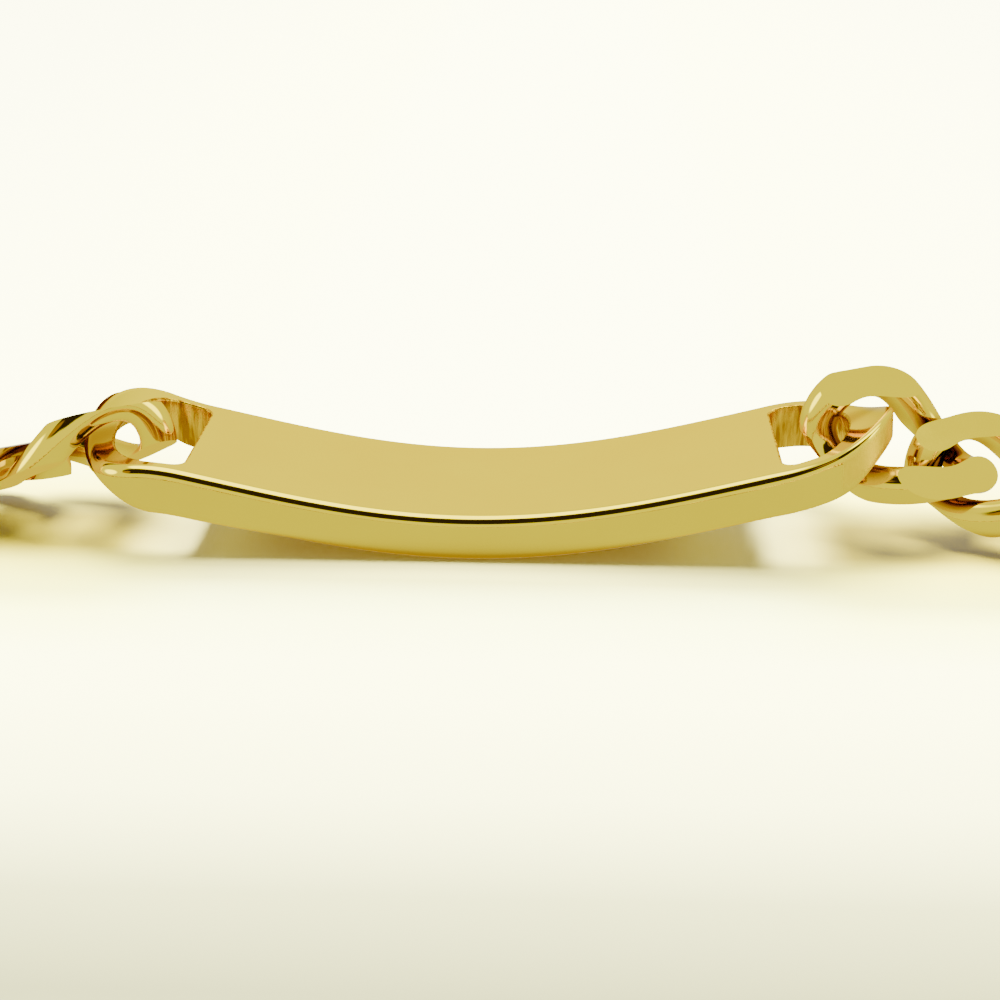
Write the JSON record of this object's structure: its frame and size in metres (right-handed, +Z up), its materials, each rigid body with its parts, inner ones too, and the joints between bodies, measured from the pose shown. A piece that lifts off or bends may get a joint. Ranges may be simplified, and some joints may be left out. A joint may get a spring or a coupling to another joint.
{
  "type": "id bracelet",
  "caption": "Identity bracelet lying flat: a curved blank name plate with a slot near each twisted end, joined by a flat-filed curb chain and a plain clasp into a closed loop.",
  "frame": {"origin": "middle of the closed loop as seen from above, on the plane that the bracelet lies on", "axes": "+X along the name plate towards its higher end, +Y from the clasp to the name plate, +Z up off the surface it lies on"},
  "size_m": [0.0937, 0.0627, 0.0086],
  "materials": {
    "gold": "polished gold plate"
  },
  "bodies": {
    "root": {"plate": "gold", "clasp": "gold", "link_right_1": "gold", "link_right_2": "gold", "link_right_3": "gold", "link_right_4": "gold", "link_right_5": "gold", "link_right_6": "gold", "link_right_7": "gold", "link_right_8": "gold", "link_right_9": "gold", "link_right_10": "gold", "link_right_11": "gold", "link_right_12": "gold", "link_right_13": "gold", "link_right_14": "gold", "link_left_1": "gold", "link_left_2": "gold", "link_left_3": "gold", "link_left_4": "gold", "link_left_5": "gold", "link_left_6": "gold", "link_left_7": "gold", "link_left_8": "gold", "link_left_9": "gold", "link_left_10": "gold", "link_left_11": "gold", "link_left_12": "gold", "link_left_13": "gold", "link_left_14": "gold"}
  },
  "joints": []
}
